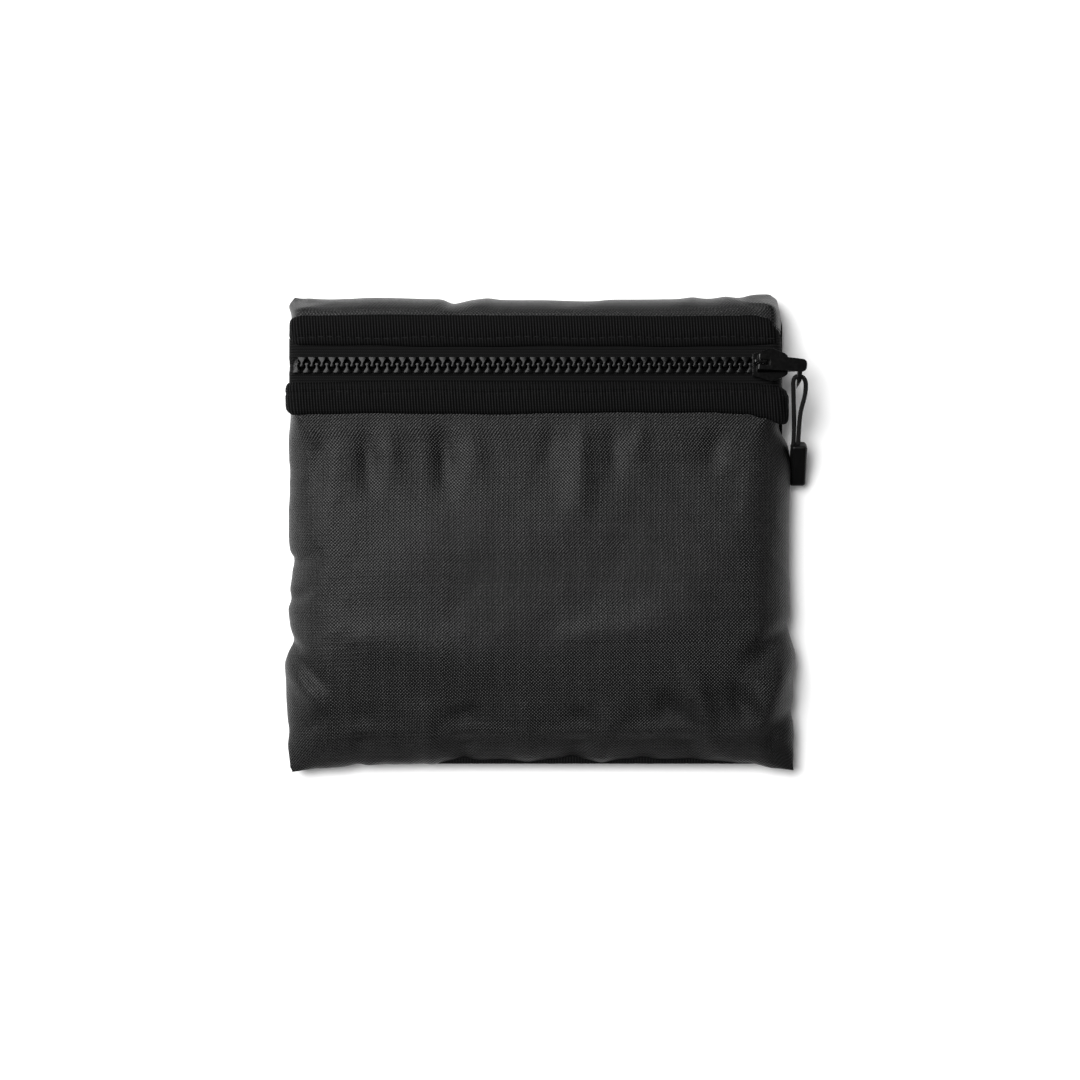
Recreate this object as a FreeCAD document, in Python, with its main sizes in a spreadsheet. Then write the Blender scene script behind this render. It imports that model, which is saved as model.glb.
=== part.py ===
"""A foldable tote bag packed in its own zip pouch, lying on its back.

Frame: +X to the right along the zip, +Y towards the zip edge, +Z up, millimetres.
The origin is on the surface that the pouch lies on, under the pouch's centre.
"""
import FreeCAD, Part
import math
import os

import Sketcher
from FreeCAD import Vector

doc = FreeCAD.newDocument("foldable_tote_bag")
sheet = doc.addObject("Spreadsheet::Sheet", "dims")

DIMENSIONS = {
    # pouch
    "pouch_width": 164.0,
    "pouch_height": 156.0,
    "pouch_top": 17.0,
    "seam_level": 6.0,
    "cloth": 0.5,
    "corner_radius": 8.0,
    "rim_radius": 3.0,
    "belly_radius": 5.0,
    "end_wall_top": 13.0,
    # zip
    "zip_line": 55.9,
    "tape_length": 162.4,
    "row_half_width": 2.7,
    "tooth_pitch": 3.33,
    "tooth_count": 47,
    "tooth_thick": 2.6,
    "tooth_foot": 2.7,
    "tooth_neck": 1.0,
    "tooth_head": 1.5,
    "first_tooth": -80.6,
    # bindings and their stitches
    "binding_width": 10.4,
    "binding_thick": 0.6,
    "binding_gap": 12.3,
    "cloth_lap": 5.0,
    "stitch_long": 2.4,
    "stitch_pitch": 3.1,
    "stitch_count": 52,
    "thread": 0.4,
    # slider
    "slider_x": 75.6,
    "slider_length": 11.6,
    "tail_half": 3.6,
    "shoulder_half": 5.6,
    "flange": 0.7,
    "plate": 0.95,
    "tooth_play": 0.2,
    "tape_play": 0.25,
    "wedge_length": 2.4,
    "wedge_half": 1.1,
    # bridge, spring and pull tab
    "pivot_x": 72.2,
    "pivot_offset": 0.9,
    "tab_yaw": -5.0,
    "pivot_rise": 1.25,
    "pin_radius": 0.6,
    "bridge_half": 2.2,
    "bridge_width": 1.1,
    "bridge_post": 0.8,
    "tab_length": 15.4,
    "tab_width": 4.2,
    "tab_thick": 1.9,
    "tab_window": 3.3,
    "ear_thick": 1.4,
    "ear_out": 3.1,
    "ear_drop": 1.25,
    "eye_reach": 13.3,
    "eye_side": 3.6,
    "eye_drop": 0.6,
    "eye_radius": 1.1,
    # cord and grip
    "cord_diameter": 1.5,
    "grip_width": 5.5,
    "grip_length": 14.8,
    "grip_thick": 4.6,
    "grip_x": 86.15,
    "grip_y": 30.1,
    "grip_z": 8.82,
    "grip_slope": 26.74,
    # seam binding inside the pouch
    "seam_tape_width": 4.0,
    "seam_tape_thick": 1.0,
    "seam_tape_play": 0.7,
    # folded tote
    "fold_width": 148.0,
    "fold_depth": 126.0,
    "fold_centre": -3.0,
    "wall_cloth": 0.3,
    "wall_pitch": 0.55,
    "wall_layers": 9,
    "lower_wall_base": 0.7,
    "upper_wall_base": 8.45,
    "strap_width": 25.0,
    "strap_thick": 0.75,
    "strap_pitch": 0.95,
    "strap_layers": 3,
    "strap_base": 5.6,
    "strap_offset": 24.0,
}

# The two strands of the cord's loop and its pass through the eye, from grip to grip.
CORD_ROUTE = [
    (84.3, 30.10, 8.82), (84.3, 35.46, 11.52), (83.6, 40.82, 14.00), (83.3, 46.63, 17.00),
    (83.05, 52.23, 19.85), (87.23, 51.87, 19.85),
    (87.6, 46.63, 17.00), (86.9, 40.82, 14.05), (85.85, 35.46, 11.52), (85.85, 30.10, 8.82),
]
CORD_CORNER_SHARE = 0.45

for row, (alias, value) in enumerate(DIMENSIONS.items(), start=1):
    sheet.set(f"A{row}", alias)
    sheet.set(f"B{row}", str(value))
    sheet.setAlias(f"B{row}", alias)
doc.recompute()

# Levels and lines that several pieces share, as expressions of the sheet's cells.
TAPE_TOP = "dims.pouch_top"
TAPE_BASE = "(dims.pouch_top - dims.cloth)"
TAPE_MIDDLE = "(dims.pouch_top - dims.cloth / 2)"
TOOTH_HALF = "(dims.tooth_thick / 2)"
UPPER_PLATE_BASE = f"({TAPE_MIDDLE} + {TOOTH_HALF} + dims.tooth_play)"
UPPER_PLATE_TOP = f"({UPPER_PLATE_BASE} + dims.plate)"
LOWER_PLATE_TOP = f"({TAPE_MIDDLE} - {TOOTH_HALF} - dims.tooth_play)"
LOWER_PLATE_BASE = f"({LOWER_PLATE_TOP} - dims.plate)"
PIVOT_LEVEL = f"({UPPER_PLATE_TOP} + dims.pivot_rise)"
BINDING_TOP = "(dims.pouch_top + dims.binding_thick)"
CUT = "1.0"

parts = []


def new_body(label):
    """A body for one sub-part; its label names its file."""
    body = doc.addObject("PartDesign::Body", label)
    body.Label = label
    body.AllowCompound = True
    parts.append(body)
    return body


def place(body, x="0", y="0", z="0"):
    for axis, text in zip("xyz", (x, y, z)):
        body.setExpression(f"Placement.Base.{axis}", text)


def turned_with_tab(body, z):
    """Place a body at the tab's pivot, turned by the angle at which the bridge is set."""
    body.Placement = FreeCAD.Placement(Vector(), FreeCAD.Rotation(Vector(0, 0, 1), sheet.tab_yaw))
    place(body, "dims.pivot_x", "dims.zip_line + dims.pivot_offset", z)


def origin_feature(body, role):
    return next(f for f in body.Origin.OriginFeatures if f.Role == role)


def block(body, name, corner, size, cut=False):
    """A box with its lowest corner and its size given as expressions."""
    kind = "PartDesign::SubtractiveBox" if cut else "PartDesign::AdditiveBox"
    box = body.newObject(kind, name)
    for prop, text in zip(("Length", "Width", "Height"), size):
        box.setExpression(prop, text)
    for axis, text in zip("xyz", corner):
        box.setExpression(f"Placement.Base.{axis}", text)
    return box


def rod(body, name, start, axis, length, radius, cut=False):
    """A cylinder that starts at an expression point and runs along an axis."""
    kind = "PartDesign::SubtractiveCylinder" if cut else "PartDesign::AdditiveCylinder"
    cylinder = body.newObject(kind, name)
    cylinder.Placement = FreeCAD.Placement(Vector(), FreeCAD.Rotation(Vector(0, 0, 1), axis))
    cylinder.setExpression("Height", length)
    cylinder.setExpression("Radius", radius)
    for letter, text in zip("xyz", start):
        cylinder.setExpression(f"Placement.Base.{letter}", text)
    return cylinder


def rounding(body, name, radius, chosen):
    """Round the edges of the body's last feature that the test picks."""
    doc.recompute()
    base = body.Tip
    names = [f"Edge{i}" for i, edge in enumerate(base.Shape.Edges, start=1) if chosen(edge)]
    fillet = body.newObject("PartDesign::Fillet", name)
    fillet.Base = (base, names)
    fillet.setExpression("Radius", radius)
    return fillet


def row_of(body, name, feature, axis_role, pitch, count):
    """Repeat a feature along one of the body's axes."""
    pattern = body.newObject("PartDesign::LinearPattern", name)
    pattern.Originals = [feature]
    pattern.Direction = (origin_feature(body, axis_role), [""])
    pattern.setExpression("Length", f"{pitch} * ({count} - 1)")
    pattern.setExpression("Occurrences", count)
    body.Tip = pattern
    return pattern


def outline(body, name, points, level="0"):
    """A closed sketch whose corners are tied to expressions of the sheet."""
    sketch = body.newObject("Sketcher::SketchObject", name)
    sketch.AttachmentSupport = [(origin_feature(body, "XY_Plane"), "")]
    sketch.MapMode = "FlatFace"
    sketch.setExpression("AttachmentOffset.Base.z", level)
    count = len(points)
    turn = 2 * math.pi / count
    ring = [Vector(math.cos(i * turn), math.sin(i * turn), 0) * 5 for i in range(count)]
    for i in range(count):
        sketch.addGeometry(Part.LineSegment(ring[i], ring[(i + 1) % count]))
    for i in range(count):
        sketch.addConstraint(Sketcher.Constraint("Coincident", i, 2, (i + 1) % count, 1))
    for i, corner in enumerate(points):
        for kind, text, start in zip(("DistanceX", "DistanceY"), corner, ring[i]):
            index = sketch.addConstraint(Sketcher.Constraint(kind, -1, 1, i, 1, start))
            sketch.setExpression(f"Constraints[{index}]", text)
    return sketch


def pad(body, name, sketch, height):
    feature = body.newObject("PartDesign::Pad", name)
    feature.Profile = sketch
    feature.setExpression("Length", height)
    return feature


def edge_along(axis):
    """A test for straight edges parallel to an axis."""
    def test(edge):
        return edge.Curve.TypeId == "Part::GeomLine" and abs(edge.Curve.Direction.dot(axis)) > 0.99
    return test


def edge_at_level(level):
    """A test for edges that lie wholly at one height."""
    def test(edge):
        box = edge.BoundBox
        return abs(box.ZMin - level) < 1e-6 and abs(box.ZMax - level) < 1e-6
    return test


ALONG_X = Vector(1, 0, 0)
ALONG_Y = Vector(0, 1, 0)
ALONG_Z = Vector(0, 0, 1)
HALF_WIDTH = "(dims.pouch_width / 2)"
HALF_HEIGHT = "(dims.pouch_height / 2)"


def cloth_tray(label, base, height, rounded_level, rim, open_level):
    """One half of the pouch: a rounded tray of cloth, open on the side of the seam."""
    body = new_body(label)
    block(body, f"{label}_block", (f"-{HALF_WIDTH}", f"-{HALF_HEIGHT}", base),
          ("dims.pouch_width", "dims.pouch_height", height))
    rounding(body, f"{label}_corners", "dims.corner_radius", edge_along(ALONG_Z))
    rounding(body, f"{label}_rim", rim, edge_at_level(rounded_level))
    doc.recompute()
    filled = body.Tip
    openings = [f"Face{i}" for i, face in enumerate(filled.Shape.Faces, start=1)
                if abs(face.BoundBox.ZMin - open_level) < 1e-6
                and abs(face.BoundBox.ZMax - open_level) < 1e-6]
    shell = body.newObject("PartDesign::Thickness", f"{label}_shell")
    shell.Base = (filled, openings)
    shell.setExpression("Value", "dims.cloth")
    shell.Reversed = True
    doc.recompute()
    if shell.Shape.Volume > filled.Shape.Volume / 2:
        raise RuntimeError(f"{label}: the tray was not hollowed")
    return body


def front_half(label):
    return cloth_tray(label, "dims.seam_level", "dims.pouch_top - dims.seam_level",
                      DIMENSIONS["pouch_top"], "dims.rim_radius", DIMENSIONS["seam_level"])


def pouch_cloth():
    """Back panel, front panel below the zip and top strip above it."""
    cloth_tray("back_panel", "0", "dims.seam_level", 0.0, "dims.belly_radius",
               DIMENSIONS["seam_level"])
    lower_edge = "(dims.zip_line - dims.binding_gap / 2 - dims.cloth_lap)"
    upper_edge = "(dims.zip_line + dims.binding_gap / 2 + dims.cloth_lap)"
    across = f"dims.pouch_width + 2 * {CUT}"
    left = f"-{HALF_WIDTH} - {CUT}"

    front = front_half("front_panel")
    block(front, "zip_opening", (left, lower_edge, "dims.end_wall_top"),
          (across, f"{upper_edge} - {lower_edge}", f"dims.pouch_top - dims.end_wall_top + {CUT}"),
          cut=True)
    block(front, "above_zip", (left, upper_edge, f"dims.seam_level - {CUT}"),
          (across, f"{HALF_HEIGHT} - {upper_edge} + {CUT}",
           f"dims.pouch_top - dims.seam_level + 2 * {CUT}"), cut=True)

    strip = front_half("top_strip")
    block(strip, "below_zip", (left, f"-{HALF_HEIGHT} - {CUT}", f"dims.seam_level - {CUT}"),
          (across, f"{HALF_HEIGHT} + {upper_edge} + {CUT}",
           f"dims.pouch_top - dims.seam_level + 2 * {CUT}"), cut=True)


def seam_binding():
    """The tape over the raw edges of the pouch's seam, round its inside."""
    body = new_body("seam_binding")
    outside = "(dims.cloth + dims.seam_tape_play)"
    inside = f"({outside} + dims.seam_tape_width)"
    level = "dims.seam_level - dims.seam_tape_thick / 2"
    block(body, "tape_outside", (f"{outside} - {HALF_WIDTH}", f"{outside} - {HALF_HEIGHT}", level),
          (f"dims.pouch_width - 2 * {outside}", f"dims.pouch_height - 2 * {outside}",
           "dims.seam_tape_thick"))
    rounding(body, "tape_corners", "dims.corner_radius - dims.cloth", edge_along(ALONG_Z))
    block(body, "tape_inside",
          (f"{inside} - {HALF_WIDTH}", f"{inside} - {HALF_HEIGHT}", f"{level} - {CUT}"),
          (f"dims.pouch_width - 2 * {inside}", f"dims.pouch_height - 2 * {inside}",
           f"dims.seam_tape_thick + 2 * {CUT}"), cut=True)


def zip_side(side, sign):
    """One side of the zip: tape, teeth, grosgrain binding and its stitches."""
    tape = new_body(f"zip_tape_{side}")
    near = f"({sign} * dims.row_half_width)"
    far = f"({sign} * (dims.binding_gap / 2 + dims.cloth_lap))"
    low, high = (near, far) if sign > 0 else (far, near)
    block(tape, f"tape_{side}", ("-dims.tape_length / 2", low, "0"),
          ("dims.tape_length", f"{high} - {low}", "dims.cloth"))
    place(tape, y="dims.zip_line", z=TAPE_BASE)

    teeth = new_body(f"zip_teeth_{side}")
    foot, neck, head = ("dims.tooth_foot / 2", "dims.tooth_neck / 2", "dims.tooth_head / 2")
    right_half = [(foot, 2.7), (foot, 2.0), (neck, 1.0), (neck, 0.4), (head, 0.1), (head, -0.4),
                  (neck, -0.8)]
    profile = [(half, f"{sign} * {y}") for half, y in right_half]
    profile += [("-" + half, f"{sign} * {y}") for half, y in reversed(right_half)]
    sketch = outline(teeth, f"tooth_outline_{side}", profile)
    tooth = pad(teeth, f"tooth_{side}", sketch, "dims.tooth_thick")
    row_of(teeth, f"tooth_row_{side}", tooth, "X_Axis", "dims.tooth_pitch", "dims.tooth_count")
    shift = "dims.tooth_pitch / 2" if sign > 0 else "0"
    place(teeth, f"dims.first_tooth + {shift}", "dims.zip_line", f"{TAPE_MIDDLE} - {TOOTH_HALF}")

    binding = new_body(f"binding_{side}")
    edge = f"({sign} * dims.binding_gap / 2)"
    start = edge if sign > 0 else f"({edge} - dims.binding_width)"
    block(binding, f"grosgrain_{side}", (f"-{HALF_WIDTH}", start, "0"),
          ("dims.pouch_width", "dims.binding_width", "dims.binding_thick"))
    place(binding, y="dims.zip_line", z=TAPE_TOP)

    stitches = new_body(f"stitches_{side}")
    line = f"{sign} * (dims.binding_gap / 2 + 2.9) - dims.thread / 2"
    stitch = block(stitches, f"stitch_{side}", ("0", line, "0"),
                   ("dims.stitch_long", "dims.thread", "dims.thread / 2"))
    row_of(stitches, f"stitch_row_{side}", stitch, "X_Axis", "dims.stitch_pitch",
           "dims.stitch_count")
    place(stitches, "-dims.stitch_pitch * dims.stitch_count / 2", "dims.zip_line", BINDING_TOP)


def slider():
    """Slider body: two plates joined by the wedge, with flanges over the tapes."""
    body = new_body("slider_body")
    back, front = "-dims.slider_length / 2", "dims.slider_length / 2"
    bend = "0.6"
    plate = [(back, "-dims.tail_half"), (bend, "-dims.shoulder_half"),
             (f"{front} - 0.9", "-dims.shoulder_half"), (front, "0.9 - dims.shoulder_half"),
             (front, "dims.shoulder_half - 0.9"), (f"{front} - 0.9", "dims.shoulder_half"),
             (bend, "dims.shoulder_half"), (back, "dims.tail_half")]
    for name, level in (("lower", LOWER_PLATE_BASE), ("upper", UPPER_PLATE_BASE)):
        sketch = outline(body, f"{name}_plate_outline", plate, level)
        pad(body, f"{name}_plate", sketch, "dims.plate")
        if name == "lower":
            wedge_start = f"{front} - dims.wedge_length - 0.8"
            wedge = [(wedge_start, "0.3"), (f"{front} - 0.8", "dims.wedge_half"),
                     (f"{front} - 0.8", "-dims.wedge_half"), (wedge_start, "-0.3")]
            sketch = outline(body, "wedge_outline", wedge, LOWER_PLATE_TOP)
            pad(body, "wedge", sketch, f"{UPPER_PLATE_BASE} - {LOWER_PLATE_TOP}")
    flange_height = f"{TOOTH_HALF} + dims.tooth_play - dims.cloth / 2 - dims.tape_play"
    upper_flange = f"({TAPE_MIDDLE} + dims.cloth / 2 + dims.tape_play)"
    for side, sign in (("near", -1), ("far", 1)):
        strip = [(back, f"{sign} * (dims.tail_half - dims.flange)"),
                 (back, f"{sign} * dims.tail_half"),
                 (bend, f"{sign} * dims.shoulder_half"),
                 (f"{front} - 0.9", f"{sign} * dims.shoulder_half"),
                 (f"{front} - 0.9", f"{sign} * (dims.shoulder_half - dims.flange)"),
                 (f"{bend} + 0.1", f"{sign} * (dims.shoulder_half - dims.flange)")]
        for name, level in (("lower", LOWER_PLATE_TOP), ("upper", upper_flange)):
            sketch = outline(body, f"{name}_{side}_flange_outline", strip, level)
            pad(body, f"{name}_{side}_flange", sketch, flange_height)
    place(body, "dims.slider_x", "dims.zip_line")


def bridge_and_spring():
    """The bridge that holds the tab's pin, and the lock spring under it."""
    bridge = new_body("slider_bridge")
    rise = "(dims.pivot_rise + dims.pin_radius + 0.15)"
    block(bridge, "bridge_block", ("-dims.bridge_half", "-dims.bridge_width / 2", "0"),
          ("2 * dims.bridge_half", "dims.bridge_width", f"{rise} + dims.plate"))
    rounding(bridge, "bridge_shoulders", "0.7", lambda edge: edge_along(ALONG_Y)(edge)
             and edge.BoundBox.ZMin > DIMENSIONS["pivot_rise"])
    inner = "(dims.bridge_half - dims.bridge_post)"
    block(bridge, "bridge_window", (f"-{inner}", f"-dims.bridge_width / 2 - {CUT}", f"-{CUT}"),
          (f"2 * {inner}", f"dims.bridge_width + 2 * {CUT}", f"{rise} + {CUT}"), cut=True)
    turned_with_tab(bridge, UPPER_PLATE_TOP)

    spring = new_body("lock_spring")
    block(spring, "spring_leaf", (f"0.1 - {inner}", "-dims.bridge_width / 2 + 0.1", "0"),
          (f"2 * {inner} - 0.2", "dims.bridge_width - 0.2", "0.25"))
    turned_with_tab(spring, UPPER_PLATE_TOP)


def pull_tab():
    """The pull tab: a window round the bridge, a pin under it and an ear for the cord."""
    body = new_body("pull_tab")
    heel = "0.75"
    block(body, "tab_plate", (f"-{heel}", "-dims.tab_width / 2", "-dims.tab_thick / 2"),
          (f"dims.tab_length + {heel}", "dims.tab_width", "dims.tab_thick"))
    rounding(body, "tab_tip", "1.6", lambda edge: edge_along(ALONG_Z)(edge)
             and edge.BoundBox.XMin > DIMENSIONS["tab_length"] / 2)
    rounding(body, "tab_heel", "0.5", lambda edge: edge_along(ALONG_Y)(edge)
             and edge.BoundBox.XMax < 0)
    block(body, "tab_window", (f"-{heel} - {CUT}", "-dims.bridge_width / 2 - 0.2",
                               f"-dims.tab_thick / 2 - {CUT}"),
          (f"dims.tab_window + {heel} + {CUT}", "dims.bridge_width + 0.4",
           f"dims.tab_thick + 2 * {CUT}"), cut=True)
    rod(body, "pin", ("0", "-dims.tab_width / 2 + 0.4", "0"), ALONG_Y, "dims.tab_width - 0.8",
        "dims.pin_radius")
    block(body, "ear", ("dims.eye_reach - dims.ear_thick / 2",
                        "-dims.tab_width / 2 - dims.ear_out",
                        "-dims.tab_thick / 2 - dims.ear_drop"),
          ("dims.ear_thick", "dims.ear_out + 0.5", "dims.tab_thick + dims.ear_drop"))
    rod(body, "eye", (f"dims.eye_reach - dims.ear_thick / 2 - {CUT}", "-dims.eye_side",
                      "-dims.eye_drop"), ALONG_X, f"dims.ear_thick + 2 * {CUT}",
        "dims.eye_radius", cut=True)
    turned_with_tab(body, PIVOT_LEVEL)


def rounded_path(points, share):
    """Straight runs through the points, joined by tangent arcs; also gives the arcs' radii."""
    points = [Vector(*point) for point in points]
    edges, radii, start = [], [], points[0]
    for before, corner, after in zip(points, points[1:], points[2:]):
        back, ahead = before - corner, after - corner
        half_turn = (math.pi - back.getAngle(ahead)) / 2
        setback = share * min(back.Length, ahead.Length)
        radii.append(setback / math.tan(half_turn))
        back.normalize()
        ahead.normalize()
        entry, leave = corner + back * setback, corner + ahead * setback
        inward = (back + ahead).normalize()
        to_centre = radii[-1] / math.cos(half_turn)
        middle = corner + inward * (to_centre - radii[-1])
        edges.append(Part.LineSegment(start, entry).toShape())
        edges.append(Part.Arc(entry, middle, leave).toShape())
        start = leave
    edges.append(Part.LineSegment(start, points[-1]).toShape())
    return Part.Wire(edges), radii


def pull_cord():
    """The cord's loop: a round tube along its route, from the grip through the eye and back."""
    path, radii = rounded_path(CORD_ROUTE, CORD_CORNER_SHARE)
    radius = sheet.cord_diameter / 2
    first_run = Vector(*CORD_ROUTE[1]) - Vector(*CORD_ROUTE[0])
    circle = Part.Wire(Part.Circle(Vector(*CORD_ROUTE[0]), first_run, radius).toShape())
    tube = path.makePipeShell([circle], True, True)
    whole = math.pi * radius ** 2 * path.Length
    print(f"cord: length {path.Length:.1f}, volume {tube.Volume:.1f} of {whole:.1f}, radii "
          + " ".join(f"{r:.1f}" for r in radii))
    if abs(tube.Volume - whole) > 0.02 * whole:
        raise RuntimeError("the cord's tube has the wrong volume")
    cord = doc.addObject("Part::Feature", "pull_cord")
    cord.Label = "pull_cord"
    cord.Shape = tube
    cord.Placement = FreeCAD.Placement()
    parts.append(cord)


def cord_grip():
    """The moulded grip on the cord's end, leaning on the surface in line with the cord."""
    body = new_body("cord_grip")
    block(body, "grip_block", ("-dims.grip_width / 2", "-dims.grip_length", "-dims.grip_thick / 2"),
          ("dims.grip_width", "dims.grip_length", "dims.grip_thick"))
    rounding(body, "grip_edges", "1.2", lambda edge: not edge_along(ALONG_X)(edge)
             or edge.BoundBox.YMax < -1)
    body.Placement = FreeCAD.Placement(Vector(), FreeCAD.Rotation(ALONG_X, sheet.grip_slope))
    place(body, "dims.grip_x", "dims.grip_y", "dims.grip_z")


def folded(label, width, depth, layer, pitch, layers):
    """A strip of cloth folded to and fro: flat layers joined by webs at alternate ends."""
    body = new_body(label)
    first = block(body, f"{label}_layer", (f"-{width} / 2", f"-{depth} / 2", "0"),
                  (width, depth, layer))
    row_of(body, f"{label}_layers", first, "Z_Axis", pitch, layers)
    for side, corner, start, folds in (
            ("right", f"{width} / 2 - {layer}", "0", f"({layers} - 1) / 2"),
            ("left", f"-{width} / 2", pitch, f"({layers} - 1) / 2")):
        web = block(body, f"{label}_{side}_fold", (corner, f"-{depth} / 2", start),
                    (layer, depth, f"{pitch} + {layer}"))
        row_of(body, f"{label}_{side}_folds", web, "Z_Axis", f"2 * {pitch}", folds)
    return body


def folded_tote():
    """The bag itself: two walls and two handle straps, folded into the pouch."""
    for label, base in (("tote_wall_lower", "dims.lower_wall_base"),
                        ("tote_wall_upper", "dims.upper_wall_base")):
        wall = folded(label, "dims.fold_width", "dims.fold_depth", "dims.wall_cloth",
                      "dims.wall_pitch", "dims.wall_layers")
        place(wall, y="dims.fold_centre", z=base)
    for label, side in (("handle_a", "1"), ("handle_b", "-1")):
        strap = folded(label, "dims.fold_width", "dims.strap_width", "dims.strap_thick",
                       "dims.strap_pitch", "dims.strap_layers")
        place(strap, y=f"dims.fold_centre + {side} * dims.strap_offset", z="dims.strap_base")


def check_and_write():
    doc.recompute()
    for item in doc.Objects:
        if {"Invalid", "Error"} & set(item.State):
            raise RuntimeError(f"{item.Label} is {item.State}")
    for part in parts:
        if part.Shape.isNull() or not part.Shape.isValid():
            raise RuntimeError(f"{part.Label} has no valid shape")
    os.makedirs("parts", exist_ok=True)
    for part in parts:
        part.Shape.exportStep(f"parts/{part.Label}.step")
        box = part.Shape.BoundBox
        print(f"{part.Label}: {len(part.Shape.Solids)} solids, volume {part.Shape.Volume:.1f}, "
              f"x {box.XMin:.2f}..{box.XMax:.2f}, y {box.YMin:.2f}..{box.YMax:.2f}, "
              f"z {box.ZMin:.2f}..{box.ZMax:.2f}")


pouch_cloth()
seam_binding()
zip_side("lower", -1)
zip_side("upper", 1)
slider()
bridge_and_spring()
pull_tab()
pull_cord()
cord_grip()
folded_tote()
check_and_write()
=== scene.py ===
"""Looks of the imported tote: cloth pouch, zip, grosgrain, slider, tab, cord and grip."""
import math

import bmesh
import bpy
import numpy as np
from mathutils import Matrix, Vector


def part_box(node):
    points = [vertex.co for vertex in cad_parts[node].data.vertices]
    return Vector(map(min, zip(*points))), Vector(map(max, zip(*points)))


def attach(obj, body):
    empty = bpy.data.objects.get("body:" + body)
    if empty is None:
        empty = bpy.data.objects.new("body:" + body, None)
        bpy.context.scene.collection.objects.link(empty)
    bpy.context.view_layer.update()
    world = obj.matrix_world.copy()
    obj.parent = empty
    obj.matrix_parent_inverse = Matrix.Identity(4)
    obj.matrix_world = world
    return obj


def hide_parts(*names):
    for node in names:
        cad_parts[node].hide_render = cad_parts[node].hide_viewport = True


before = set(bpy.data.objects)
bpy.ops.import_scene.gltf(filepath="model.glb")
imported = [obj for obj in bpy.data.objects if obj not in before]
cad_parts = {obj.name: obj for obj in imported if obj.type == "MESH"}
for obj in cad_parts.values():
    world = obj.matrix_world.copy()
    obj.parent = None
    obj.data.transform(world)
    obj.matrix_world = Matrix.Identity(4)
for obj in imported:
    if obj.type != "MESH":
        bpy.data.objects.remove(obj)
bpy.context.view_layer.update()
MM = 0.001
RIB = 0.95

# ---------------------------------------------------------------- camera and light
CAMERA_HEIGHT = 0.86
LENS = 85.0
CAMERA_AT = (-0.0003, -0.0019)
SOFTBOX_AT = (-0.60, 0.44, 1.20)
SOFTBOX_SIZE = 1.1
SOFTBOX_POWER = 40.0
WORLD_STRENGTH = 0.05


def camera_and_light():
    data = bpy.data.cameras.new("camera")
    data.lens = LENS
    data.sensor_width = 36.0
    camera = bpy.data.objects.new("camera", data)
    camera.location = (*CAMERA_AT, CAMERA_HEIGHT)
    bpy.context.collection.objects.link(camera)
    bpy.context.scene.camera = camera

    bpy.ops.mesh.primitive_plane_add(size=6.0, location=(0, 0, -0.0002))
    floor = bpy.context.object
    floor.name = "floor"
    white = plain_material("floor_white", (0.93, 0.93, 0.93), 0.9)
    glow = white.node_tree.nodes["Principled BSDF"]
    glow.inputs["Emission Color"].default_value = (1, 1, 1, 1)
    glow.inputs["Emission Strength"].default_value = 0.10
    floor.data.materials.append(white)

    light = bpy.data.lights.new("softbox", "AREA")
    light.size = SOFTBOX_SIZE
    light.energy = SOFTBOX_POWER
    lamp = bpy.data.objects.new("softbox", light)
    lamp.location = SOFTBOX_AT
    lamp.rotation_euler = (-Vector(SOFTBOX_AT)).to_track_quat("-Z", "Y").to_euler()
    bpy.context.collection.objects.link(lamp)

    world = bpy.data.worlds.new("world")
    world.use_nodes = True
    world.node_tree.nodes["Background"].inputs[0].default_value = (1, 1, 1, 1)
    world.node_tree.nodes["Background"].inputs[1].default_value = WORLD_STRENGTH
    bpy.context.scene.world = world
    bpy.context.scene.view_settings.view_transform = "Standard"


# ---------------------------------------------------------------- materials
def new_material(name):
    material = bpy.data.materials.new(name)
    material.use_nodes = True
    return material, material.node_tree, material.node_tree.nodes["Principled BSDF"]


def plain_material(name, colour, roughness):
    material, _, shader = new_material(name)
    shader.inputs["Base Color"].default_value = (*colour, 1)
    shader.inputs["Roughness"].default_value = roughness
    return material


class Nodes:
    """Short helpers to build one material's node tree."""

    def __init__(self, tree):
        self.tree = tree

    def add(self, kind, **values):
        node = self.tree.nodes.new(kind)
        for key, value in values.items():
            setattr(node, key, value)
        return node

    def link(self, a, b):
        self.tree.links.new(a, b)

    def math(self, operation, a, b=None):
        node = self.add("ShaderNodeMath", operation=operation)
        for socket, value in zip(node.inputs, (a, b)):
            if value is None:
                continue
            if isinstance(value, (int, float)):
                socket.default_value = value
            else:
                self.link(value, socket)
        return node.outputs[0]

    def cloth_coordinates(self):
        """Millimetres along the cloth, kept on each vertex as the attribute cloth."""
        attribute = self.add("ShaderNodeAttribute", attribute_name="cloth")
        split = self.add("ShaderNodeSeparateXYZ")
        self.link(attribute.outputs["Vector"], split.inputs[0])
        return split.outputs[0], split.outputs[1], attribute.outputs["Vector"]

    def wave(self, value, pitch, offset=0.0):
        """0 to 1 and back once per pitch."""
        angle = self.math("MULTIPLY", value, 2 * math.pi / pitch)
        sine = self.math("SINE", self.math("ADD", angle, offset))
        return self.math("ADD", self.math("MULTIPLY", sine, 0.5), 0.5)

    def bump(self, height, strength, distance, shader):
        node = self.add("ShaderNodeBump")
        node.inputs["Strength"].default_value = strength
        node.inputs["Distance"].default_value = distance
        self.link(height, node.inputs["Height"])
        self.link(node.outputs[0], shader.inputs["Normal"])


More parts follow.
